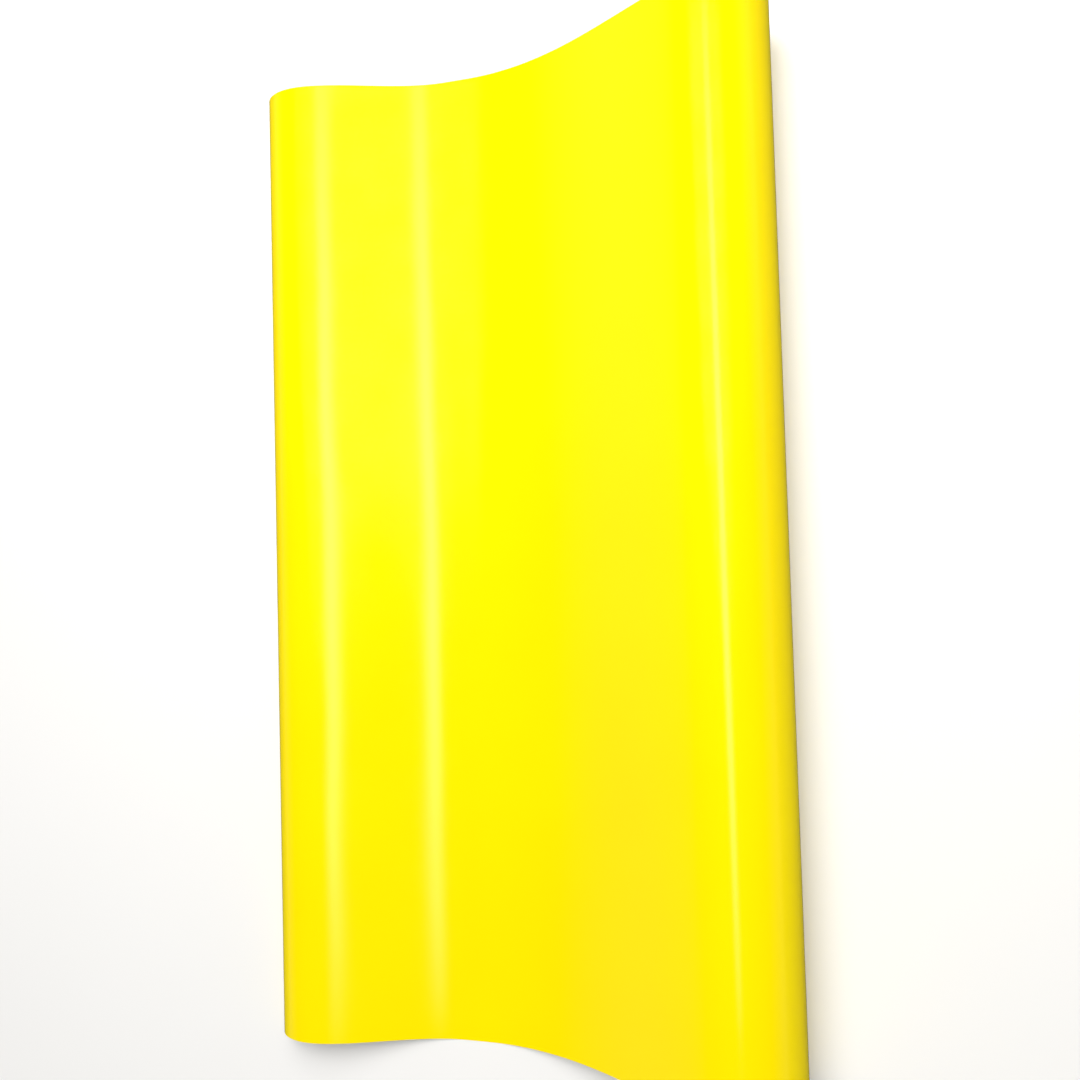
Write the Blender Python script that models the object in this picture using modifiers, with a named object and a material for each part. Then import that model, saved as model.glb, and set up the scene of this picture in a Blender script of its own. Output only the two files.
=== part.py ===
"""Roll of sign vinyl: a web of gloss film on its release liner, wound on a paperboard core.

The roll lies along Y and rests on the plane Z = 0. The web's loose end leaves the top of the roll
towards -X, comes down to lie on the plane, rises over a low hump and curls under at its free edge.
The outer turn of the web belongs to the loose end. The turns under it are wound tight on the core
and turn with it. The origin is on the plane, under the middle of the whole object.
"""

import math

import bmesh
import bpy
from mathutils import Vector

# Driving dimensions, in metres.
WEB_WIDTH = 0.6096
WEB_LENGTH = 4.572
FILM_THICKNESS = 0.00009
LINER_THICKNESS = 0.00014
LAYER_GAP = 0.00008

CORE_BORE_RADIUS = 0.0254
CORE_WALL = 0.0028
CORE_OVERHANG = 0.0008

TAPE_THICKNESS = 0.00015
TAPE_WIDTH = 0.024
TAPE_SETBACK = 0.012
TAPE_DIRECTION = math.radians(200)
TAPE_STEPS = 8

CLEARANCE = 0.0003
ROUND_STEPS = 72

# The loose end is a row of stretches, each with its length and the curvature at its far end. A
# curvature is 1 over a radius, positive where the web bends down on both sides and negative where
# it bends up, and it changes evenly along a stretch.
SHOULDER = (0.022, 1 / 0.555)
DESCENT_LENGTH = 0.143
LEVELLING_LENGTH = 0.005
LYING = (0.010, 0)
LIFT = (0.003, -1 / 0.072)
HUMP = (0.081, 1 / 0.124)
CREST = (0.0135, 1 / 0.051)
CURL_TIGHTENING = 860
LOOSE_STEP = 0.004

# The web leaves the roll at an angle from its top, and curls down to the plane in a length, that
# lie in these ranges. The outer turn starts in the nip, this far short of the line of leaving.
LEAVE_RANGE = (0, math.radians(40))
CURL_RANGE = (0.004, 0.080)
EDGE_HEIGHT = 0.00015
NIP_ANGLE = math.radians(40)
SOLVER_STEPS = 40

COLLECTION = "roll_of_sign_vinyl"


def clear_scene():
    for old in list(bpy.data.objects):
        bpy.data.objects.remove(old)


def core_radius():
    return CORE_BORE_RADIUS + CORE_WALL


def wound_bore_radius():
    return core_radius() + TAPE_THICKNESS + 2 * CLEARANCE


def wound_radius():
    """The radius of the tight turns: the whole web wound up, less the turn that lies outside."""
    web = FILM_THICKNESS + LINER_THICKNESS
    full = wound_bore_radius() ** 2 + web * (WEB_LENGTH - 2 * math.pi * core_radius()) / math.pi
    return math.sqrt(full) - web


def seam_radius():
    """The radius of the outer turn, measured to the middle of the gap between its two layers."""
    return wound_radius() + CLEARANCE + LINER_THICKNESS + LAYER_GAP / 2


def roll_radius():
    return seam_radius() + LAYER_GAP / 2 + FILM_THICKNESS


def on_outer_turn(angle):
    """The place on the outer turn at an angle from its top, going towards -X.

    A place on the web is its point in the XZ plane, the angle by which the web has turned down
    from level, and its curvature."""
    out = Vector((-math.sin(angle), math.cos(angle)))
    return Vector((0, roll_radius())) + seam_radius() * out, angle, 1 / seam_radius()


def outer_turn(leave_angle):
    start = leave_angle + NIP_ANGLE - 2 * math.pi
    count = round((leave_angle - start) / (2 * math.pi) * ROUND_STEPS)
    return [on_outer_turn(start + (leave_angle - start) * k / count) for k in range(count)]


def march(place, stretches):
    """The places along a row of stretches that follows from a place."""
    point, heading, bend = place
    places = []
    for length, end_bend in stretches:
        count = math.ceil(length / LOOSE_STEP)
        step = length / count
        change = (end_bend - bend) / count
        for k in range(count):
            turned = (bend + change / 2) * step
            middle = heading + turned / 2
            point = point - step * Vector((math.cos(middle), math.sin(middle)))
            heading += turned
            bend += change
            places.append((point, heading, bend))
    return places


def bisect(too_short, low, high):
    for k in range(SOLVER_STEPS):
        middle = (low + high) / 2
        if too_short(middle):
            low = middle
        else:
            high = middle
    return (low + high) / 2


def descent(leave_angle):
    """The places from the roll to the plane, where the web is level and straight."""
    place, heading, bend = leave = on_outer_turn(leave_angle)
    length, shoulder = SHOULDER
    turned = heading + length * (bend + shoulder) / 2 + DESCENT_LENGTH * shoulder / 2
    dip = -2 * turned / (DESCENT_LENGTH + LEVELLING_LENGTH)
    return march(leave, [SHOULDER, (DESCENT_LENGTH, dip), (LEVELLING_LENGTH, 0)])


def leaving():
    """The angle from the roll's top at which the web leaves it, to come down on the plane."""
    lying = LINER_THICKNESS + LAYER_GAP / 2
    return bisect(lambda angle: descent(angle)[-1][0].y > lying, *LEAVE_RANGE)


def loose_end(leave_angle):
    places = [on_outer_turn(leave_angle)] + descent(leave_angle)
    places += march(places[-1], [LYING, LIFT, HUMP, CREST])

    def curl(length):
        return march(places[-1], [(length, CREST[1] + CURL_TIGHTENING * length)])

    return places + curl(bisect(lambda length: curl(length)[-1][0].y > EDGE_HEIGHT, *CURL_RANGE))


def web_places():
    """The places along the web, from the nip to the free edge."""
    leave_angle = leaving()
    return outer_turn(leave_angle) + loose_end(leave_angle)


def roll_x():
    """Where the roll's axis lies, so that the origin is under the middle of the object."""
    free_side = min(point.x for point, heading, bend in web_places())
    return -(free_side - LAYER_GAP / 2 - FILM_THICKNESS + roll_radius()) / 2


def make_material(name, colour, roughness):
    material = bpy.data.materials.new(name)
    material.use_nodes = True
    shader = material.node_tree.nodes["Principled BSDF"]
    shader.inputs["Base Color"].default_value = (*colour, 1)
    shader.inputs["Roughness"].default_value = roughness
    shader.inputs["Metallic"].default_value = 0
    return material


def add_object(home, name, form, material, parent=None):
    """Makes an object of a bmesh, which this frees."""
    mesh = bpy.data.meshes.new(name)
    form.to_mesh(mesh)
    form.free()
    mesh.materials.append(material)
    piece = bpy.data.objects.new(name, mesh)
    piece.parent = parent
    home.objects.link(piece)
    return piece


def add_spindle(home):
    """The empty on the roll's axis, whose Z runs along the roll."""
    spindle = bpy.data.objects.new("spindle", None)
    spindle.location = (roll_x(), 0, roll_radius())
    spindle.rotation_euler = (-math.pi / 2, 0, 0)
    home.objects.link(spindle)
    return spindle


def thicken(piece, thickness, side):
    solidify = piece.modifiers.new("thickness", "SOLIDIFY")
    solidify.thickness = thickness
    solidify.offset = side
    solidify.use_even_offset = True


def ribbon(outline, shift, width):
    """A surface of the given width along +Y or +Z, swept from a row of points."""
    form = bmesh.new()
    row = [form.verts.new(point) for point in outline]
    edges = [form.edges.new(pair) for pair in zip(row, row[1:])]
    swept = bmesh.ops.extrude_edge_only(form, edges=edges)["geom"]
    far_row = [item for item in swept if isinstance(item, bmesh.types.BMVert)]
    bmesh.ops.translate(form, verts=far_row, vec=width * shift)
    return form


def add_web_layer(home, name, material, side, thickness):
    """One layer of the web, on the film's side (1) or the liner's side (-1) of the seam."""
    outline = []
    for point, heading, bend in web_places():
        out = Vector((-math.sin(heading), math.cos(heading)))
        point = point + side * LAYER_GAP / 2 * out
        outline.append((point.x + roll_x(), -WEB_WIDTH / 2, point.y))
    layer = add_object(home, name, ribbon(outline, Vector((0, 1, 0)), WEB_WIDTH), material)
    thicken(layer, thickness, side)


def add_tube(home, name, material, spindle, radii, length):
    """A turned tube about the spindle, from its bore radius to its outer radius."""
    bore, outer = radii
    corners = ((outer, length / 2), (outer, -length / 2), (bore, -length / 2), (bore, length / 2))
    form = bmesh.new()
    row = [form.verts.new((x, 0, z)) for x, z in corners]
    for pair in zip(row, row[1:] + row[:1]):
        form.edges.new(pair)
    tube = add_object(home, name, form, material, spindle)
    turned = tube.modifiers.new("turned", "SCREW")
    turned.steps = ROUND_STEPS
    turned.render_steps = ROUND_STEPS
    turned.use_merge_vertices = True
    turned.merge_threshold = 0.00001


def add_start_tape(home, spindle, material):
    """The paper tape that holds the first turn of the web to the core, along its length."""
    radius = core_radius() + CLEARANCE
    length = WEB_WIDTH - 2 * TAPE_SETBACK
    spread = TAPE_WIDTH / radius
    outline = []
    for k in range(TAPE_STEPS + 1):
        angle = TAPE_DIRECTION + spread * (k / TAPE_STEPS - 0.5)
        outline.append((radius * math.cos(angle), radius * math.sin(angle), -length / 2))
    form = ribbon(outline, Vector((0, 0, 1)), length)
    tape = add_object(home, "core_start_tape", form, material, spindle)
    thicken(tape, TAPE_THICKNESS, 1)


def main():
    clear_scene()
    home = bpy.data.collections.new(COLLECTION)
    bpy.context.scene.collection.children.link(home)
    film = make_material("yellow_gloss_film", (0.98, 0.86, 0.02), 0.12)
    liner = make_material("release_liner_paper", (0.90, 0.89, 0.85), 0.55)
    wound = make_material("wound_web_edge", (0.93, 0.83, 0.15), 0.35)
    board = make_material("core_paperboard", (0.58, 0.44, 0.29), 0.85)
    tape = make_material("start_tape_paper", (0.80, 0.72, 0.52), 0.70)
    add_web_layer(home, "vinyl_film", film, 1, FILM_THICKNESS)
    add_web_layer(home, "release_liner", liner, -1, LINER_THICKNESS)
    spindle = add_spindle(home)
    wound_radii = (wound_bore_radius(), wound_radius())
    add_tube(home, "wound_turns", wound, spindle, wound_radii, WEB_WIDTH)
    core_radii = (CORE_BORE_RADIUS, core_radius())
    add_tube(home, "core", board, spindle, core_radii, WEB_WIDTH + 2 * CORE_OVERHANG)
    add_start_tape(home, spindle, tape)


if __name__ == "__main__":
    main()
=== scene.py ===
"""Roll of sign vinyl: the finished surfaces that are built round the fixed model of the roll.

The loose web lies drawn off the roll, a gloss film on its release liner. The rest of the web is
wound in tight turns on a spirally wound paperboard core, and a strip of creped tape holds its
first turn. Every layer starts as a flat slab, as it is cut, and is then bent to where it lies.
"""

import math

import bmesh
import bpy
from bpy.props import FloatProperty, FloatVectorProperty, IntProperty, PointerProperty
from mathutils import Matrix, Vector


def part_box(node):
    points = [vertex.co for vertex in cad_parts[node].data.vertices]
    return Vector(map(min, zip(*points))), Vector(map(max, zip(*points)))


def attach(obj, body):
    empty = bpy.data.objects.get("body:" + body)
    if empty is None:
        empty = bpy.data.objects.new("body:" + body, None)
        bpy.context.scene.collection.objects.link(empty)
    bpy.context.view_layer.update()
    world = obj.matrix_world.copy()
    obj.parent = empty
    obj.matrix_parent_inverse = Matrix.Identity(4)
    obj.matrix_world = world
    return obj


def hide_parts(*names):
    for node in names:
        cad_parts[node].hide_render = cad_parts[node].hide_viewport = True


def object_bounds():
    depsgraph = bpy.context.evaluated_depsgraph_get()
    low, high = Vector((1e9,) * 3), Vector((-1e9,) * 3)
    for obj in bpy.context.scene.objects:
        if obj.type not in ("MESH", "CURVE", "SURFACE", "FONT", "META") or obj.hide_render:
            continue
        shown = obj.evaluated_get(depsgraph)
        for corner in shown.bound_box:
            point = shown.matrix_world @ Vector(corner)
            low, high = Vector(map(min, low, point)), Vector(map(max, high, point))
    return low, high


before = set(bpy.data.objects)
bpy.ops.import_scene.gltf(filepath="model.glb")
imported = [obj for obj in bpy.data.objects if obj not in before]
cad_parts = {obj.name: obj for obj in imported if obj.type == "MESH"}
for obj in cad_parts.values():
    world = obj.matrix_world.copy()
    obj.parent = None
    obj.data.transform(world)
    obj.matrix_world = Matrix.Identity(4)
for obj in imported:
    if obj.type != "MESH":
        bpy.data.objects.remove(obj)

bl_info = {
    "name": "Roll of Sign Vinyl",
    "version": (1, 0, 0),
    "blender": (4, 5, 0),
    "location": "View3D > Sidebar > Sign Vinyl",
    "description": "Builds the web, the wound turns, the core and the tape of a roll of sign vinyl",
    "category": "Object",
}

# What the fixed model gives, in metres: its box, the web's width, the roll's axis and its radii.
MODEL_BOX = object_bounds()
WEB_LOW, WEB_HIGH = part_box("vinyl_film")
CORE_LOW, CORE_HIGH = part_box("core")
WOUND_LOW, WOUND_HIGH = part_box("wound_turns")
WEB_WIDTH = WEB_HIGH.y - WEB_LOW.y
AXIS = (CORE_LOW + CORE_HIGH) / 2
ROLL_RADIUS = AXIS.z
WOUND_RADIUS = (WOUND_HIGH.z - WOUND_LOW.z) / 2
CORE_RADIUS = (CORE_HIGH.z - CORE_LOW.z) / 2
CORE_LENGTH = CORE_HIGH.y - CORE_LOW.y

# The loose end is a row of stretches, each with its length and the curvature at its far end. A
# curvature is 1 over a radius, positive where the web bends down on both sides and negative where
# it bends up, and it changes evenly along a stretch.
SHOULDER = (0.022, 1 / 0.555)
DESCENT_LENGTH = 0.143
LEVELLING_LENGTH = 0.005
LYING = (0.010, 0)
LIFT = (0.003, -1 / 0.072)
HUMP = (0.081, 1 / 0.124)
CREST = (0.0135, 1 / 0.051)
CURL_TIGHTENING = 860

# The web leaves the roll at an angle from its top, and curls down to the floor in a length, that
# lie in these ranges. The outer turn starts in the nip, this far short of the line of leaving.
LEAVE_RANGE = (0, math.radians(40))
CURL_RANGE = (0.004, 0.080)
EDGE_HEIGHT = 0.00015
NIP_ANGLE = math.radians(40)
SOLVER_STEPS = 40

# How finely the surfaces are divided: the web in metres, and the rest in steps.
WEB_STEP = 0.0015
WEB_STEPS_ACROSS = 72
TURN_STEPS = 120
WOUND_STEPS_ACROSS = 2
CORE_STEPS_AROUND = 120
CORE_STEPS_ALONG = 90
TAPE_STEPS_ALONG = 60
TAPE_STEPS_ACROSS = 20

# The gap from the core to the tape, the distance in which the core's closing edges are joined, and
# the share of a step by which the core's seams are narrower than their neighbours.
TAPE_GAP = 0.00002
JOIN_DISTANCE = 0.00002
SEAM_DRAW = 0.7

# The waves of the loose end die out on the floor, and again in the curl. Each has its length over
# the web and along it, in metres, and where it starts, as a share of a wave.
WAVY_HUMP_LENGTH = 0.138
LONG_WAVE = (0.310, 0.190, 0.15)
SHORT_WAVE = (0.137, -0.165, 0.42)
LONG_WAVE_SHARE = 0.65
SHORT_WAVE_SHARE = 0.35
DESCENT_WAVE_SHARE = 0.55

# How the edges of the turns wander at the roll's ends: rates for a radian of winding, and shares.
# Now and then a few turns step out together.
SLOW_WANDER_RATE = 0.173
QUICK_WANDER_RATE = 0.61
QUICK_WANDER_SHARE = 0.6
STEP_OUT_RATE = 0.317
STEP_OUT_START = 1.1
STEP_OUT_SHARE = 0.8
STEP_OUT_SHARPNESS = 6

# How the sawn ends of the core's plies stand in and out: angles for each ply, and waves around.
PLY_STEP = 5.1
PLY_START = 1.3
PLY_SHIFT = 2.2
END_WAVES = 9
END_WAVE_SHARE = 0.5
END_SHARE = 0.4
END_SET_BACK = 0.6

# The lights, in metres and radians. The long strip hangs high over the web and runs along the roll.
STRIP_FROM_FREE_SIDE = 0.32
STRIP_ALONG = 0.45
STRIP_HEIGHT = 5
STRIP_SIZE = (1.9, 5.7)
STRIP_FADE_ACROSS = 4.0
STRIP_FADE_ALONG = 0.6
KEY_PLACE = (0.05, 0.5, 0.9)
KEY_TARGET = (0, 0.1, 0)
KEY_SIZE = (0.8, 0.8)
FILL_PLACE = (0, 0.6, 1.5)
FILL_SPREAD = math.radians(50)

# The shades of the surroundings, and the heights where one gives way to the next, from -1 straight
# down over 0 level to 1 straight up.
WALL_SHADE = (0.6, 0.6, 0.6)
CEILING_SHADE = (0.07, 0.07, 0.07)
UNDER_FLOOR_SHADE = (0.14, 0.14, 0.14)
BACKDROP_COLOUR = (0.56, 0.555, 0.55)
FLOOR_CLOUD_SHADE = 0.97
WALL_TO_CEILING = (0.1, 0.5)
UNDER_FLOOR_TO_WALL = (-0.05, 0.05)
MIRROR_DIMMING = 0.5
BLACK = (0, 0, 0)

CAMERA_PLACE = (AXIS.x + 0.05237, -0.0218, 0.6110)
CAMERA_TURN = (math.radians(2.446), math.radians(15.516), math.radians(-1.577))
CAMERA_CLIP_START = 0.01

HALF = Vector((0.5, 0.5, 0))

# Weights that put the points and faces of a slab in order: by height, then width, then length.
SLAB_ORDER = Vector((1, 1000, 1000000))

SHARP_ANGLE = math.radians(40)
FLAT_MAP = "flat"
OBJECT_MAP = "object"
EVEN = (1, 1, 1)
WHOLE = (0, 1)

# The sockets of a mix node that carry colours.
MIX_COLOURS = (6, 7)
MIX_RESULT = 2


class WebSettings(bpy.types.PropertyGroup):
    """The layers of the web and how its loose end lies."""

    film_thickness: FloatProperty(
        name="Film Thickness", description="Thickness of the vinyl film",
        default=0.00009, min=0.00005, unit="LENGTH", precision=5,
    )
    liner_thickness: FloatProperty(
        name="Liner Thickness", description="Thickness of the release liner",
        default=0.00014, min=0.00005, unit="LENGTH", precision=5,
    )
    layer_gap: FloatProperty(
        name="Layer Gap", description="Gap between film and liner in the fixed model",
        default=0.00008, min=0.0, unit="LENGTH", precision=5,
    )
    bond_gap: FloatProperty(
        name="Bond Gap", description="Gap between film and liner on the finished web",
        default=0.000005, min=0.0, unit="LENGTH", precision=6,
    )
    length: FloatProperty(
        name="Web Length", description="Length of the whole web, wound and loose",
        default=4.572, min=1.0, unit="LENGTH",
    )
    wave_height: FloatProperty(
        name="Wave Height", description="Height of the faint waves in the loose end",
        default=0.00028, min=0.0, unit="LENGTH", precision=5,
    )
    crown: FloatProperty(
        name="Crown", description="How much higher the hump stands in its middle than at its ends",
        default=0.0009, min=0.0, unit="LENGTH", precision=5,
    )
    film_colour: FloatVectorProperty(
        name="Film Colour", description="Colour of the film's gloss face",
        default=(0.93, 0.735, 0.0), subtype="COLOR", min=0.0, max=1.0,
    )
    film_deep_colour: FloatVectorProperty(
        name="Film Deep Colour", description="Colour in the film's denser patches and cut edges",
        default=(0.92, 0.71, 0.0), subtype="COLOR", min=0.0, max=1.0,
    )
    liner_colour: FloatVectorProperty(
        name="Liner Colour", description="Colour of the silicone-coated paper",
        default=(0.80, 0.78, 0.72), subtype="COLOR", min=0.0, max=1.0,
    )
    liner_fibre_colour: FloatVectorProperty(
        name="Liner Fibre Colour", description="Colour of the fibre clouds in the liner",
        default=(0.68, 0.65, 0.57), subtype="COLOR", min=0.0, max=1.0,
    )


class WoundSettings(bpy.types.PropertyGroup):
    """The tight turns of the web on the core."""

    core_gap: FloatProperty(
        name="Core Gap", description="Gap from the core's outside to the first turn",
        default=0.0002, min=0.0, unit="LENGTH", precision=5,
    )
    edge_wander: FloatProperty(
        name="Edge Wander", description="How far the turns' edges stand in or out at the ends",
        default=0.00025, min=0.0, unit="LENGTH", precision=5,
    )


class CoreSettings(bpy.types.PropertyGroup):
    """The spirally wound paperboard core and the tape on it."""

    wall: FloatProperty(
        name="Wall", description="Thickness of the core's wall",
        default=0.0028, min=0.001, unit="LENGTH", precision=4,
    )
    plies: IntProperty(
        name="Plies", description="Number of paperboard plies in the wall",
        default=7, min=2, max=12,
    )
    seam_lead: FloatProperty(
        name="Seam Lead", description="How far a seam moves along the core in one turn",
        default=0.118, min=0.05, unit="LENGTH",
    )
    seam_depth: FloatProperty(
        name="Seam Depth", description="Depth of the butt seams of the inner and outer plies",
        default=0.00028, min=0.0, unit="LENGTH", precision=5,
    )
    end_roughness: FloatProperty(
        name="End Roughness", description="How uneven the sawn ends of the plies are",
        default=0.00014, min=0.0, unit="LENGTH", precision=5,
    )
    board_colour: FloatVectorProperty(
        name="Board Colour", description="Colour of the paperboard",
        default=(0.40, 0.26, 0.13), subtype="COLOR", min=0.0, max=1.0,
    )
    board_dark_colour: FloatVectorProperty(
        name="Board Dark Colour", description="Colour of the board's fibres, seams and glue lines",
        default=(0.22, 0.135, 0.062), subtype="COLOR", min=0.0, max=1.0,
    )
    tape_width: FloatProperty(
        name="Tape Width", description="Width of the start tape round the core",
        default=0.024, min=0.005, unit="LENGTH",
    )
    tape_thickness: FloatProperty(
        name="Tape Thickness", description="Thickness of the start tape",
        default=0.00013, min=0.00005, unit="LENGTH", precision=5,
    )
    pink_depth: FloatProperty(
        name="Pink Depth", description="Depth of the teeth at the tape's torn ends",
        default=0.0014, min=0.0, unit="LENGTH", precision=4,
    )
    tape_colour: FloatVectorProperty(
        name="Tape Colour", description="Colour of the creped start tape",
        default=(0.72, 0.58, 0.32), subtype="COLOR", min=0.0, max=1.0,
    )


class StageSettings(bpy.types.PropertyGroup):
    """The floor, the lights, the surroundings and the camera."""

    floor_size: FloatProperty(
        name="Floor Size", description="Side of the square floor",
        default=40.0, min=1.0, unit="LENGTH",
    )
    floor_colour: FloatVectorProperty(
        name="Floor Colour", description="Colour of the plain floor",
        default=(0.82, 0.81, 0.79), subtype="COLOR", min=0.0, max=1.0,
    )
    strip_power: FloatProperty(
        name="Strip Power", description="Power of the long overhead strip light",
        default=150.0, min=0.0, unit="POWER",
    )
    key_power: FloatProperty(
        name="Key Power", description="Power of the broad soft light beyond the roll's far end",
        default=9.0, min=0.0, unit="POWER",
    )
    fill_strength: FloatProperty(
        name="Fill Strength", description="Strength of the even soft light from above",
        default=2.25, min=0.0,
    )
    lens: FloatProperty(
        name="Lens", description="Focal length of the camera in millimetres",
        default=34.0, min=10.0, subtype="DISTANCE_CAMERA",
    )


# The web's path in the XZ plane. A place on it is its point from the foot of the roll, the angle by
# which the web has turned down from level, and its curvature.


def seam_radius(web):
    """The radius of the outer turn, measured to the middle of the gap between its two layers."""
    return ROLL_RADIUS - web.film_thickness - web.layer_gap / 2


def on_outer_turn(web, angle):
    """The place on the outer turn at an angle from its top, going towards -X."""
    out = Vector((-math.sin(angle), math.cos(angle)))
    radius = seam_radius(web)
    return Vector((0, ROLL_RADIUS)) + radius * out, angle, 1 / radius


def outer_turn(web, leave_angle):
    """The places on the outer turn, from the nip to where the web leaves the roll."""
    start = leave_angle + NIP_ANGLE - 2 * math.pi
    count = round((leave_angle - start) * seam_radius(web) / WEB_STEP)
    return [on_outer_turn(web, start + (leave_angle - start) * k / count) for k in range(count)]


def march(place, stretches):
    """The places along a row of stretches that follows from a place."""
    point, heading, bend = place
    places = []
    for length, end_bend in stretches:
        count = math.ceil(length / WEB_STEP)
        step = length / count
        change = (end_bend - bend) / count
        for k in range(count):
            turned = (bend + change / 2) * step
            middle = heading + turned / 2
            point = point - step * Vector((math.cos(middle), math.sin(middle)))
            heading += turned
            bend += change
            places.append((point, heading, bend))
    return places


def bisect(too_short, low, high):
    """The value in a range from which on a test no longer holds."""
    for k in range(SOLVER_STEPS):
        middle = (low + high) / 2
        if too_short(middle):
            low = middle
        else:
            high = middle
    return (low + high) / 2


def descent(web, leave_angle):
    """The places from the roll to the floor, where the web is level and straight."""
    leave = on_outer_turn(web, leave_angle)
    heading, bend = leave[1:]
    length, shoulder = SHOULDER
    turned = heading + length * (bend + shoulder) / 2 + DESCENT_LENGTH * shoulder / 2
    dip = -2 * turned / (DESCENT_LENGTH + LEVELLING_LENGTH)
    return march(leave, [SHOULDER, (DESCENT_LENGTH, dip), (LEVELLING_LENGTH, 0)])


def leaving(web):
    """The angle from the roll's top at which the web leaves it, to come down on the floor."""
    lying = web.liner_thickness + web.layer_gap / 2
    return bisect(lambda angle: descent(web, angle)[-1][0].y > lying, *LEAVE_RANGE)


def loose_end(web, leave_angle):
    """The places from the roll to the free edge."""
    places = [on_outer_turn(web, leave_angle)] + descent(web, leave_angle)
    places += march(places[-1], [LYING, LIFT, HUMP, CREST])

    def curl(length):
        return march(places[-1], [(length, CREST[1] + CURL_TIGHTENING * length)])

    return places + curl(bisect(lambda length: curl(length)[-1][0].y > EDGE_HEIGHT, *CURL_RANGE))


def length_of(places):
    """The length of the web along a row of places."""
    points = [point for point, heading, bend in places]
    return sum((b - a).length for a, b in zip(points, points[1:]))


# Slabs: every layer is cut flat, with its flat sizes as its UV map, and then moved to its place.


def cut_slab(steps_long, steps_wide, flat_size, plies=1):
    """A closed flat slab that runs from 0 to 1 in length, width and thickness.

    Its points and faces are put in order, because an extrusion leaves them in any order."""
    form = bmesh.new()
    bmesh.ops.create_grid(form, x_segments=steps_long, y_segments=steps_wide, size=0.5)
    bmesh.ops.translate(form, verts=form.verts, vec=HALF)
    top = form.faces[:]
    for ply in range(plies):
        grown = bmesh.ops.extrude_face_region(form, geom=top)["geom"]
        lifted = [item for item in grown if isinstance(item, bmesh.types.BMVert)]
        bmesh.ops.translate(form, verts=lifted, vec=Vector((0, 0, 1 / plies)))
        if ply > 0:
            bmesh.ops.delete(form, geom=top, context="FACES")
        top = [item for item in grown if isinstance(item, bmesh.types.BMFace)]
    form.verts.sort(key=lambda vert: vert.co.dot(SLAB_ORDER))
    form.faces.sort(key=lambda face: face.calc_center_median().dot(SLAB_ORDER))
    bmesh.ops.recalc_face_normals(form, faces=form.faces)
    flat = form.loops.layers.uv.new(FLAT_MAP)
    for face in form.faces:
        is_edge = abs(face.normal.z) < 0.5
        face.material_index = 1 if is_edge else 0
        for loop in face.loops:
            loop[flat].uv = loop.vert.co.x * flat_size[0], loop.vert.co.y * flat_size[1]
    return form


def bend_slab(form, place):
    """Moves each point of a slab to the place of its shares of length, width and thickness."""
    for vert in form.verts:
        vert.co = place(*vert.co)


def add_piece(name, form, materials, body, replaced):
    """Makes a finished piece of a bmesh, which this frees, and hands it to a body."""
    bmesh.ops.recalc_face_normals(form, faces=form.faces)
    if form.calc_volume(signed=True) < 0:
        bmesh.ops.reverse_faces(form, faces=form.faces)
    mesh = bpy.data.meshes.new(name)
    form.to_mesh(mesh)
    form.free()
    mesh.shade_smooth()
    mesh.set_sharp_from_angle(angle=SHARP_ANGLE)
    for material in materials:
        mesh.materials.append(material)
    piece = bpy.data.objects.new(name, mesh)
    bpy.context.scene.collection.objects.link(piece)
    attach(piece, body)
    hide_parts(replaced)
    return piece


def swell(share):
    """Rises from 0 at one end of a stretch to 1 in its middle and falls to 0 at the other end."""
    return math.sin(math.pi * min(max(share, 0), 1)) ** 2


def ripple(wave, along, across):
    """The height of one wave, from -1 to 1, at a distance from the roll and from the middle."""
    length_across, length_along, start = wave
    return math.sin(2 * math.pi * (across / length_across + along / length_along + start))


def lift(web, along, across):
    """How far the waves and the hump's crown lift the loose end, at the same two distances."""
    held = SHOULDER[0] + DESCENT_LENGTH + LEVELLING_LENGTH
    on_hump = swell((along - held - LYING[0]) / WAVY_HUMP_LENGTH)
    free = DESCENT_WAVE_SHARE * swell(along / held) + on_hump
    waves = LONG_WAVE_SHARE * ripple(LONG_WAVE, along, across)
    waves += SHORT_WAVE_SHARE * ripple(SHORT_WAVE, along, across)
    bow = math.cos(math.pi * across / WEB_WIDTH) - 2 / math.pi
    return free * web.wave_height * waves + on_hump * web.crown * bow


def add_loose_layer(name, faces, materials, replaced):
    """One layer of the outer turn and the loose end, between two heights from the seam."""
    web = bpy.context.scene.vinyl_web
    leave_angle = leaving(web)
    turn = outer_turn(web, leave_angle)
    places = turn + loose_end(web, leave_angle)
    length = length_of(places)
    last = len(places) - 1
    loose_start = len(turn) / last * length

    def place(long, wide, thick):
        point, heading, bend = places[round(long * last)]
        across = (wide - 0.5) * WEB_WIDTH
        height = faces[0] + (faces[1] - faces[0]) * thick
        height += lift(web, long * length - loose_start, across)
        x = point.x - height * math.sin(heading)
        z = point.y + height * math.cos(heading)
        return Vector((AXIS.x + x, across, z))

    form = cut_slab(last, WEB_STEPS_ACROSS, (length, WEB_WIDTH))
    bend_slab(form, place)
    piece = add_piece(name, form, materials, "web", replaced)
    return piece


def wound_web(web, wound):
    """The first and last angle and the first and last seam radius of the tight turns."""
    leave_angle = leaving(web)
    outer = length_of(outer_turn(web, leave_angle) + loose_end(web, leave_angle))
    first_radius = CORE_RADIUS + wound.core_gap + web.liner_thickness
    last_radius = WOUND_RADIUS - web.film_thickness
    turned = (web.length - outer) / ((first_radius + last_radius) / 2)
    end = leave_angle + NIP_ANGLE - 2 * math.pi
    return end - turned, end, first_radius, last_radius


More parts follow.
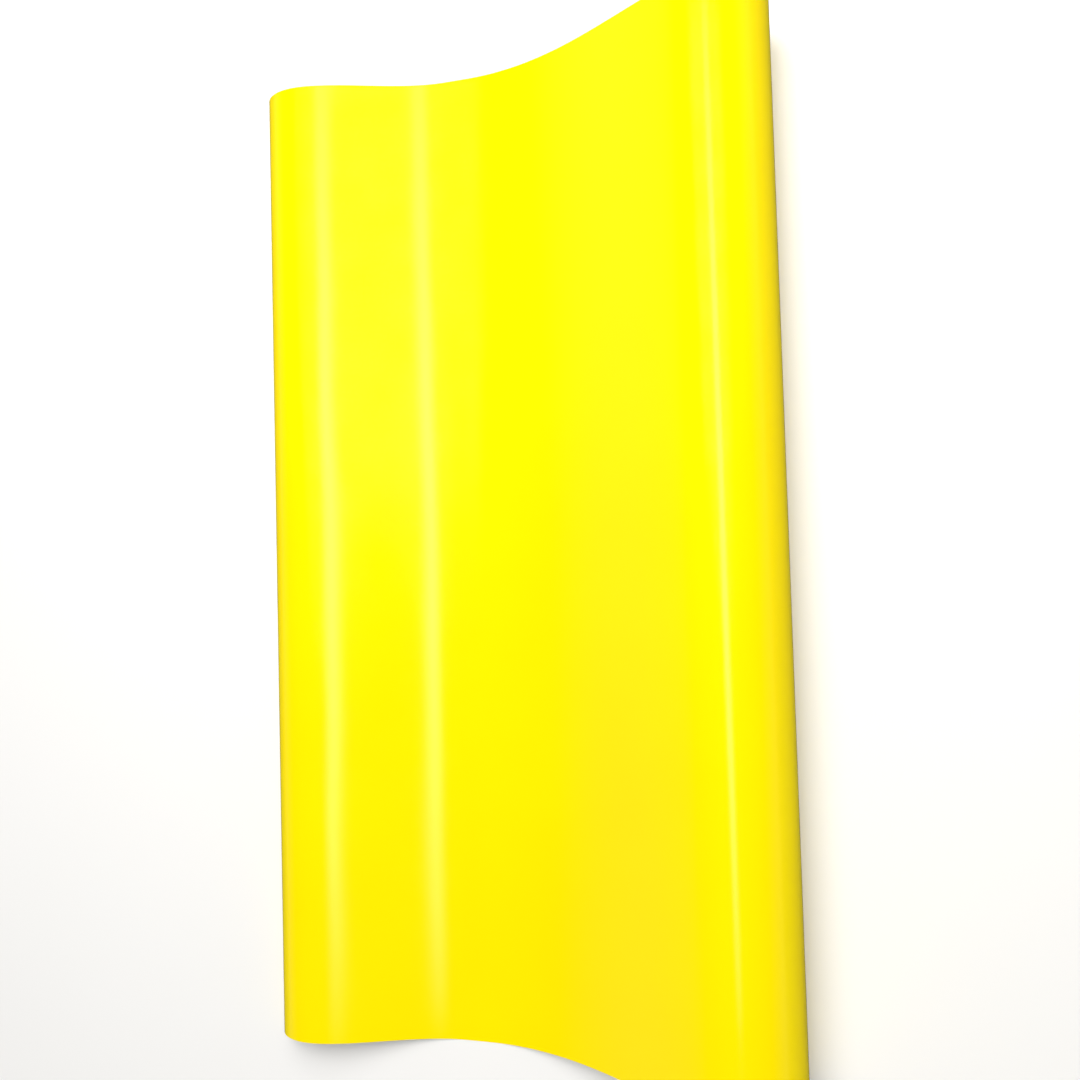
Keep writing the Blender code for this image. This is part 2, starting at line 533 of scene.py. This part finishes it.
def edge_wander(angle, phase):
    """How far the edges of the turns stand in or out at an angle of the winding."""
    slow = math.sin(SLOW_WANDER_RATE * angle + phase)
    quick = QUICK_WANDER_SHARE * math.sin(QUICK_WANDER_RATE * angle + 2 * phase)
    stepped = max(0, math.sin(STEP_OUT_RATE * angle + STEP_OUT_START)) ** STEP_OUT_SHARPNESS
    return slow + quick + STEP_OUT_SHARE * stepped


def add_wound_layer(name, faces, materials, phase):
    """One layer of the tight turns, between two heights from the seam."""
    web, wound = bpy.context.scene.vinyl_web, bpy.context.scene.vinyl_wound
    first, end, first_radius, last_radius = wound_web(web, wound)
    length = (end - first) * (first_radius + last_radius) / 2

    def place(long, wide, thick):
        angle = first + (end - first) * long
        radius = first_radius + (last_radius - first_radius) * long
        radius += faces[0] + (faces[1] - faces[0]) * thick
        across = (wide - 0.5) * WEB_WIDTH + wound.edge_wander * edge_wander(angle, phase)
        x, z = -radius * math.sin(angle), radius * math.cos(angle)
        return Vector((AXIS.x + x, across, AXIS.z + z))

    steps = round((end - first) / (2 * math.pi) * TURN_STEPS)
    form = cut_slab(steps, WOUND_STEPS_ACROSS, (length, WEB_WIDTH))
    bend_slab(form, place)
    piece = add_piece(name, form, materials, "roll", "wound_turns")
    return piece


# Materials.


def new_material(name):
    """A new material, its node tree and its shader."""
    material = bpy.data.materials.new(name)
    material.use_nodes = True
    return material, material.node_tree, material.node_tree.nodes["Principled BSDF"]


def add_node(tree, kind, settings=None, **inputs):
    """Adds a node, sets it up, and sets or links its inputs, named with _ for a space."""
    node = tree.nodes.new(kind)
    for key, value in (settings or {}).items():
        setattr(node, key, value)
    for key, value in inputs.items():
        socket = node.inputs[key.replace("_", " ")]
        if isinstance(value, bpy.types.NodeSocket):
            tree.links.new(value, socket)
        else:
            socket.default_value = value
    return node


def coordinates(tree, source, scale, location=(0, 0, 0)):
    """Coordinates from the flat map or from the object, in metres from a place, then scaled."""
    if source == FLAT_MAP:
        start = add_node(tree, "ShaderNodeUVMap", {"uv_map": FLAT_MAP}).outputs["UV"]
    else:
        start = add_node(tree, "ShaderNodeTexCoord").outputs["Object"]
    shift = tuple(-a * b for a, b in zip(location, scale))
    return add_node(tree, "ShaderNodeMapping", Vector=start, Scale=scale, Location=shift).outputs[0]


def add_noise(tree, vector, scale, detail, roughness=0.5, distortion=0.0):
    """Noise from 0 to 1, with its scale in waves for a metre."""
    return add_node(
        tree, "ShaderNodeTexNoise", Vector=vector, Scale=scale, Detail=detail,
        Roughness=roughness, Distortion=distortion,
    ).outputs["Fac"]


def add_maths(tree, operation, first, second=None):
    """A sum on one value, or on a value and another value or number."""
    node = add_node(tree, "ShaderNodeMath", {"operation": operation}, Value=first)
    if isinstance(second, bpy.types.NodeSocket):
        tree.links.new(second, node.inputs[1])
    elif second is not None:
        node.inputs[1].default_value = second
    return node.outputs[0]


def add_range(tree, value, old, new=WHOLE):
    """Stretches a value from an old range to a new one."""
    return add_node(
        tree, "ShaderNodeMapRange", Value=value, From_Min=old[0], From_Max=old[1],
        To_Min=new[0], To_Max=new[1],
    ).outputs["Result"]


def add_mix(tree, share, first, second):
    """Mixes two colours, each given as a colour or as a socket."""
    node = tree.nodes.new("ShaderNodeMix")
    node.data_type = "RGBA"
    tree.links.new(share, node.inputs["Factor"])
    for index, value in zip(MIX_COLOURS, (first, second)):
        if isinstance(value, bpy.types.NodeSocket):
            tree.links.new(value, node.inputs[index])
        else:
            node.inputs[index].default_value = (*value, 1)
    return node.outputs[MIX_RESULT]


def add_bump(tree, shader, height, distance, below=None):
    """Bumps the shader's surface by a height, in metres for a height of 1."""
    bump = add_node(tree, "ShaderNodeBump", Height=height, Distance=distance, Strength=1.0)
    if below is not None:
        tree.links.new(below, bump.inputs["Normal"])
    tree.links.new(bump.outputs["Normal"], shader.inputs["Normal"])
    return bump.outputs["Normal"]


def gloss_film_material(web):
    """Calendered gloss film: even colour, a faint orange peel and a clear shine."""
    material, tree, shader = new_material("yellow_gloss_film")
    flat = coordinates(tree, FLAT_MAP, EVEN)
    clouds = add_noise(tree, flat, scale=9, detail=2)
    cloud_share = add_range(tree, clouds, (0.3, 0.7))
    colour = add_mix(tree, cloud_share, web.film_colour, web.film_deep_colour)
    tree.links.new(colour, shader.inputs["Base Color"])
    smears = add_noise(tree, flat, scale=55, detail=3)
    shine = add_range(tree, smears, (0.3, 0.7), (0.09, 0.13))
    tree.links.new(shine, shader.inputs["Roughness"])
    shader.inputs["Specular IOR Level"].default_value = 0.4
    broad_peel = add_noise(tree, flat, scale=260, detail=1)
    fine_peel = add_noise(tree, flat, scale=2600, detail=1)
    broad = add_bump(tree, shader, broad_peel, distance=0.000012)
    add_bump(tree, shader, fine_peel, distance=0.0000012, below=broad)
    return material


def film_edge_material(web):
    """The slit edge of the film, duller than its face."""
    material, tree, shader = new_material("film_slit_edge")
    flat = coordinates(tree, FLAT_MAP, EVEN)
    streaks = add_noise(tree, flat, scale=160, detail=3)
    streak_share = add_range(tree, streaks, (0.3, 0.7))
    colour = add_mix(tree, streak_share, web.film_deep_colour, web.film_colour)
    tree.links.new(colour, shader.inputs["Base Color"])
    shader.inputs["Roughness"].default_value = 0.45
    grain = add_noise(tree, flat, scale=1800, detail=2)
    add_bump(tree, shader, grain, distance=0.000004)
    return material


def liner_material(web, name="release_liner_paper", roughness=0.5):
    """Silicone-coated paper: cloudy fibres and a low sheen."""
    material, tree, shader = new_material(name)
    long_clouds = coordinates(tree, FLAT_MAP, (1, 1.6, 1))
    long_fibres = coordinates(tree, FLAT_MAP, (1, 5, 1))
    clouds = add_noise(tree, long_clouds, scale=90, detail=5, roughness=0.65, distortion=0.4)
    fibres = add_noise(tree, long_fibres, scale=420, detail=4, roughness=0.7, distortion=1.2)
    cloud_share = add_range(tree, clouds, (0.35, 0.7), (0, 0.55))
    colour = add_mix(tree, cloud_share, web.liner_colour, web.liner_fibre_colour)
    fibre_share = add_range(tree, fibres, (0.55, 0.75), (0, 0.45))
    colour = add_mix(tree, fibre_share, colour, web.liner_fibre_colour)
    tree.links.new(colour, shader.inputs["Base Color"])
    shine = add_range(tree, clouds, (0.3, 0.7), (roughness - 0.07, roughness + 0.07))
    tree.links.new(shine, shader.inputs["Roughness"])
    add_bump(tree, shader, fibres, distance=0.000012)
    return material


def board_material(core):
    """Grey-brown kraft board, with fibres along the plies' windings."""
    material, tree, shader = new_material("core_paperboard")
    along_plies = coordinates(tree, FLAT_MAP, (6, 1, 1))
    fibres = add_noise(tree, along_plies, scale=130, detail=5, roughness=0.7, distortion=0.8)
    flat = coordinates(tree, FLAT_MAP, EVEN)
    clouds = add_noise(tree, flat, scale=35, detail=3, roughness=0.6)
    fibre_share = add_range(tree, fibres, (0.35, 0.75), (0, 0.8))
    colour = add_mix(tree, fibre_share, core.board_colour, core.board_dark_colour)
    cloud_share = add_range(tree, clouds, (0.4, 0.8), (0, 0.5))
    colour = add_mix(tree, cloud_share, colour, core.board_dark_colour)
    tree.links.new(colour, shader.inputs["Base Color"])
    shader.inputs["Roughness"].default_value = 0.82
    shader.inputs["Specular IOR Level"].default_value = 0.3
    add_bump(tree, shader, fibres, distance=0.00004)
    return material


def board_end_material(core):
    """The sawn end of the core, where the plies show as rings with glue lines between them."""
    material, tree, shader = new_material("core_sawn_end")
    across = coordinates(tree, OBJECT_MAP, (1, 0, 1), AXIS)
    radius = add_node(
        tree, "ShaderNodeVectorMath", {"operation": "LENGTH"}, Vector=across
    ).outputs["Value"]
    from_bore = add_maths(tree, "SUBTRACT", radius, CORE_RADIUS - core.wall)
    ply_turns = add_maths(tree, "MULTIPLY", from_bore, 2 * math.pi * core.plies / core.wall)
    lines = add_maths(tree, "COSINE", ply_turns)
    inside = coordinates(tree, OBJECT_MAP, EVEN)
    fuzz = add_noise(tree, inside, scale=900, detail=4, roughness=0.7)
    glue = add_range(tree, lines, (0.4, 1), (0, 0.8))
    torn = add_range(tree, fuzz, (0.35, 0.7), (0, 0.7))
    colour = add_mix(tree, torn, core.board_colour, core.board_dark_colour)
    colour = add_mix(tree, glue, colour, core.board_dark_colour)
    tree.links.new(colour, shader.inputs["Base Color"])
    shader.inputs["Roughness"].default_value = 0.95
    shader.inputs["Specular IOR Level"].default_value = 0.2
    add_bump(tree, shader, fuzz, distance=0.00012)
    return material


def tape_material(core):
    """Creped paper tape: fine ridges, with painted shade that darkens its colour along the crepe's
    furrows.
    """
    material, tree, shader = new_material("creped_tape_paper")
    ridged = coordinates(tree, FLAT_MAP, (1, 9, 1))
    crepe = add_noise(tree, ridged, scale=160, detail=3, roughness=0.6, distortion=0.5)
    # Painted shade: the crepe pattern that makes the bumps also darkens the tape's colour towards
    # the board's brown.
    crepe_shade_share = add_range(tree, crepe, (0.35, 0.7), (0, 0.6))
    colour = add_mix(tree, crepe_shade_share, core.tape_colour, core.board_colour)
    tree.links.new(colour, shader.inputs["Base Color"])
    shader.inputs["Roughness"].default_value = 0.6
    add_bump(tree, shader, crepe, distance=0.00008)
    return material


def floor_material(stage):
    """A plain pale floor with a faint unevenness of tone."""
    material, tree, shader = new_material("plain_pale_floor")
    clouds = add_noise(tree, coordinates(tree, OBJECT_MAP, EVEN), scale=3, detail=3)
    cloud_colour = tuple(FLOOR_CLOUD_SHADE * part for part in stage.floor_colour)
    colour = add_mix(tree, clouds, stage.floor_colour, cloud_colour)
    tree.links.new(colour, shader.inputs["Base Color"])
    shader.inputs["Roughness"].default_value = 0.7
    shader.inputs["Specular IOR Level"].default_value = 0.1
    return material


# Operators.


class VINYL_OT_loose_web(bpy.types.Operator):
    """Builds the film and the liner of the outer turn and the loose end"""

    bl_idname = "vinyl.loose_web"
    bl_label = "Build Loose Web"

    def execute(self, context):
        web = context.scene.vinyl_web
        film_low = -web.layer_gap / 2 + web.bond_gap
        film_faces = (film_low, film_low + web.film_thickness)
        liner_faces = (-web.layer_gap / 2 - web.liner_thickness, -web.layer_gap / 2)
        film = [gloss_film_material(web), film_edge_material(web)]
        add_loose_layer("film_web", film_faces, film, "vinyl_film")
        liner = [liner_material(web), liner_material(web, "liner_slit_edge", roughness=0.7)]
        add_loose_layer("liner_web", liner_faces, liner, "release_liner")
        return {"FINISHED"}


class VINYL_OT_wound_web(bpy.types.Operator):
    """Builds the film and the liner of the tight turns on the core"""

    bl_idname = "vinyl.wound_web"
    bl_label = "Build Wound Web"

    def execute(self, context):
        web = context.scene.vinyl_web
        film = [bpy.data.materials["yellow_gloss_film"], bpy.data.materials["film_slit_edge"]]
        faces = (web.bond_gap, web.bond_gap + web.film_thickness)
        add_wound_layer("wound_film", faces, film, phase=0.0)
        liner = [bpy.data.materials["release_liner_paper"], bpy.data.materials["liner_slit_edge"]]
        faces = (-web.liner_thickness, 0)
        add_wound_layer("wound_liner", faces, liner, phase=0.25)
        return {"FINISHED"}


def ragged_end(ply, angle):
    """How far the sawn end of a ply stands out at an angle, as a share of the roughness."""
    ragged = math.sin(PLY_STEP * ply + PLY_START)
    ragged += END_WAVE_SHARE * math.sin(END_WAVES * angle + PLY_SHIFT * ply)
    return END_SHARE * ragged - END_SET_BACK


def narrow_seam(long, steps):
    """Draws the points a step to either side of a seam towards it."""
    if steps % CORE_STEPS_AROUND == 1:
        return long - SEAM_DRAW / CORE_STEPS_AROUND
    if -steps % CORE_STEPS_AROUND == 1:
        return long + SEAM_DRAW / CORE_STEPS_AROUND
    return long


class VINYL_OT_core(bpy.types.Operator):
    """Builds the spirally wound paperboard core"""

    bl_idname = "vinyl.core"
    bl_label = "Build Core"

    def execute(self, context):
        core = context.scene.vinyl_core
        turns = CORE_LENGTH / core.seam_lead
        mid_radius = CORE_RADIUS - core.wall / 2
        # For the bore and the outside: the seam's place as a share of a turn, and its depth.
        seam_sides = {0: (0, core.seam_depth), core.plies: (0.5, -core.seam_depth)}

        def place(long, wide, thick):
            ply = round(thick * core.plies)
            radius = CORE_RADIUS - core.wall * (1 - thick)
            if ply in seam_sides:
                seam, sunk = seam_sides[ply]
                steps = round((long - seam) * CORE_STEPS_AROUND)
                if steps % CORE_STEPS_AROUND == 0:
                    radius += sunk
                long = narrow_seam(long, steps)
            along = (wide - 0.5) * CORE_LENGTH
            angle = 2 * math.pi * (long + turns * wide)
            if wide in WHOLE:
                along += math.copysign(core.end_roughness, along) * ragged_end(ply, angle)
            return AXIS + Vector((-radius * math.sin(angle), along, radius * math.cos(angle)))

        flat = (2 * math.pi * mid_radius, CORE_LENGTH)
        form = cut_slab(CORE_STEPS_AROUND, CORE_STEPS_ALONG, flat, core.plies)
        closing = [face for face in form.faces if face.calc_center_median().x in WHOLE]
        bmesh.ops.delete(form, geom=closing, context="FACES")
        bend_slab(form, place)
        bmesh.ops.remove_doubles(form, verts=form.verts, dist=JOIN_DISTANCE)
        materials = [board_material(core), board_end_material(core)]
        add_piece("core_tube", form, materials, "roll", "core")
        return {"FINISHED"}


class VINYL_OT_start_tape(bpy.types.Operator):
    """Builds the creped tape that holds the first turn to the core"""

    bl_idname = "vinyl.start_tape"
    bl_label = "Build Start Tape"

    def execute(self, context):
        core = context.scene.vinyl_core
        tape_low, tape_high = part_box("core_start_tape")
        middle = (tape_low + tape_high) / 2 - AXIS
        direction = math.atan2(-middle.x, middle.z)
        long, wide = tape_high.y - tape_low.y, core.tape_width

        def place(share, across, thick):
            angle = direction + (across - 0.5) * wide / CORE_RADIUS
            radius = CORE_RADIUS + TAPE_GAP + core.tape_thickness * thick
            along = (share - 0.5) * long
            if share in WHOLE:
                tooth = round(across * TAPE_STEPS_ACROSS) % 2
                along -= math.copysign(core.pink_depth * tooth, along)
            return AXIS + Vector((-radius * math.sin(angle), along, radius * math.cos(angle)))

        form = cut_slab(TAPE_STEPS_ALONG, TAPE_STEPS_ACROSS, (long, wide))
        bend_slab(form, place)
        paper = tape_material(core)
        add_piece("start_tape", form, [paper, paper], "roll", "core_start_tape")
        return {"FINISHED"}


class VINYL_OT_stage(bpy.types.Operator):
    """Builds the floor, the lights, the surroundings and the camera"""

    bl_idname = "vinyl.stage"
    bl_label = "Build Stage"

    def execute(self, context):
        stage = context.scene.vinyl_stage
        add_floor(stage)
        add_surroundings()
        add_overhead_strip(stage)
        add_far_key(stage)
        add_even_fill(stage)
        add_camera(stage)
        context.scene.view_settings.view_transform = "Standard"
        return {"FINISHED"}


def add_floor(stage):
    """A plain floor, which the film doesn't mirror."""
    form = bmesh.new()
    bmesh.ops.create_grid(form, x_segments=4, y_segments=4, size=stage.floor_size / 2)
    mesh = bpy.data.meshes.new("floor")
    form.to_mesh(mesh)
    form.free()
    mesh.materials.append(floor_material(stage))
    floor = bpy.data.objects.new("floor", mesh)
    floor.visible_glossy = False
    bpy.context.scene.collection.objects.link(floor)


def add_surroundings():
    """Bright walls all round and a dim ceiling, as shades by height, before a plain backdrop."""
    world = bpy.data.worlds.new("studio")
    world.use_nodes = True
    tree = world.node_tree
    sky = tree.nodes["Background"]
    up = add_node(tree, "ShaderNodeTexCoord").outputs["Generated"]
    height = add_node(tree, "ShaderNodeSeparateXYZ", Vector=up).outputs["Z"]
    to_ceiling = add_range(tree, height, WALL_TO_CEILING)
    light = add_mix(tree, to_ceiling, WALL_SHADE, CEILING_SHADE)
    to_wall = add_range(tree, height, UNDER_FLOOR_TO_WALL)
    light = add_mix(tree, to_wall, UNDER_FLOOR_SHADE, light)
    rays = add_node(tree, "ShaderNodeLightPath").outputs
    dimming = add_maths(tree, "MULTIPLY", rays["Is Glossy Ray"], MIRROR_DIMMING)
    light = add_mix(tree, dimming, light, BLACK)
    light = add_mix(tree, rays["Is Camera Ray"], light, BACKDROP_COLOUR)
    tree.links.new(light, sky.inputs["Color"])
    bpy.context.scene.world = world


def place_lamp(light, place, target):
    """Puts a light at a place, facing a target."""
    lamp = bpy.data.objects.new(light.name, light)
    lamp.location = place
    lamp.rotation_euler = (Vector(target) - Vector(place)).to_track_quat("-Z", "Y").to_euler()
    lamp.visible_camera = False
    bpy.context.scene.collection.objects.link(lamp)
    return lamp


def add_light(name, place, target, power, size):
    """Adds a rectangular light."""
    light = bpy.data.lights.new(name, "AREA")
    light.shape = "RECTANGLE"
    light.size, light.size_y = size
    light.energy = power
    return place_lamp(light, place, target)


def bell(tree, share, steepness):
    """Rises with a share from 0 to 1 in its middle, and falls to 0 again where it is 1."""
    rise = add_maths(tree, "SINE", add_maths(tree, "MULTIPLY", share, math.pi))
    return add_maths(tree, "POWER", rise, steepness)


def add_overhead_strip(stage):
    """A long strip light high over the web, which fades towards its edges and only mirrors."""
    x = MODEL_BOX[0].x + STRIP_FROM_FREE_SIDE
    place = (x, STRIP_ALONG, STRIP_HEIGHT)
    target = (x, STRIP_ALONG, 0)
    lamp = add_light("overhead_strip", place, target, stage.strip_power, STRIP_SIZE)
    lamp.visible_diffuse = False
    lamp.data.use_nodes = True
    tree = lamp.data.node_tree
    emission = tree.nodes["Emission"]
    spot = add_node(tree, "ShaderNodeNewGeometry").outputs["Parametric"]
    split = add_node(tree, "ShaderNodeSeparateXYZ", Vector=spot)
    across = bell(tree, split.outputs["X"], STRIP_FADE_ACROSS)
    along = bell(tree, split.outputs["Y"], STRIP_FADE_ALONG)
    both = add_maths(tree, "MULTIPLY", across, along)
    tree.links.new(both, emission.inputs["Strength"])


def add_far_key(stage):
    """A broad soft light beyond the roll's far end, which the film doesn't mirror."""
    lamp = add_light("far_key", KEY_PLACE, KEY_TARGET, stage.key_power, KEY_SIZE)
    lamp.visible_glossy = False


def add_even_fill(stage):
    """Very soft light over the whole floor, which makes no streak of its own on the film."""
    light = bpy.data.lights.new("even_fill", "SUN")
    light.energy = stage.fill_strength
    light.angle = FILL_SPREAD
    lamp = place_lamp(light, FILL_PLACE, (0, 0, 0))
    lamp.visible_glossy = False


def add_camera(stage):
    """Looks down on the web from over the roll, turned a little towards the loose end."""
    camera = bpy.data.cameras.new("camera")
    camera.lens = stage.lens
    camera.clip_start = CAMERA_CLIP_START
    viewer = bpy.data.objects.new("camera", camera)
    viewer.location = CAMERA_PLACE
    viewer.rotation_mode = "ZXY"
    viewer.rotation_euler = CAMERA_TURN
    bpy.context.scene.collection.objects.link(viewer)
    bpy.context.scene.camera = viewer


class VINYL_PT_panel(bpy.types.Panel):
    """Lists the pieces of the roll and the stage"""

    bl_label = "Sign Vinyl"
    bl_idname = "VINYL_PT_panel"
    bl_space_type = "VIEW_3D"
    bl_region_type = "UI"
    bl_category = "Sign Vinyl"

    def draw(self, context):
        for settings, operators in PANEL_ROWS:
            box = self.layout.box()
            group = getattr(context.scene, settings)
            for name in group.bl_rna.properties.keys():
                if name not in ("rna_type", "name"):
                    box.prop(group, name)
            for operator in operators:
                box.operator(operator.bl_idname)


PANEL_ROWS = (
    ("vinyl_web", (VINYL_OT_loose_web,)),
    ("vinyl_wound", (VINYL_OT_wound_web,)),
    ("vinyl_core", (VINYL_OT_core, VINYL_OT_start_tape)),
    ("vinyl_stage", (VINYL_OT_stage,)),
)
SETTINGS = {
    "vinyl_web": WebSettings,
    "vinyl_wound": WoundSettings,
    "vinyl_core": CoreSettings,
    "vinyl_stage": StageSettings,
}
CLASSES = (
    *SETTINGS.values(),
    VINYL_OT_loose_web,
    VINYL_OT_wound_web,
    VINYL_OT_core,
    VINYL_OT_start_tape,
    VINYL_OT_stage,
    VINYL_PT_panel,
)


def register():
    for made in CLASSES:
        bpy.utils.register_class(made)
    for name, group in SETTINGS.items():
        setattr(bpy.types.Scene, name, PointerProperty(type=group))


def unregister():
    for name in SETTINGS:
        delattr(bpy.types.Scene, name)
    for made in reversed(CLASSES):
        bpy.utils.unregister_class(made)


def main():
    register()
    bpy.ops.vinyl.core()
    bpy.ops.vinyl.start_tape()
    bpy.ops.vinyl.loose_web()
    bpy.ops.vinyl.wound_web()
    bpy.ops.vinyl.stage()


if __name__ == "__main__":
    main()
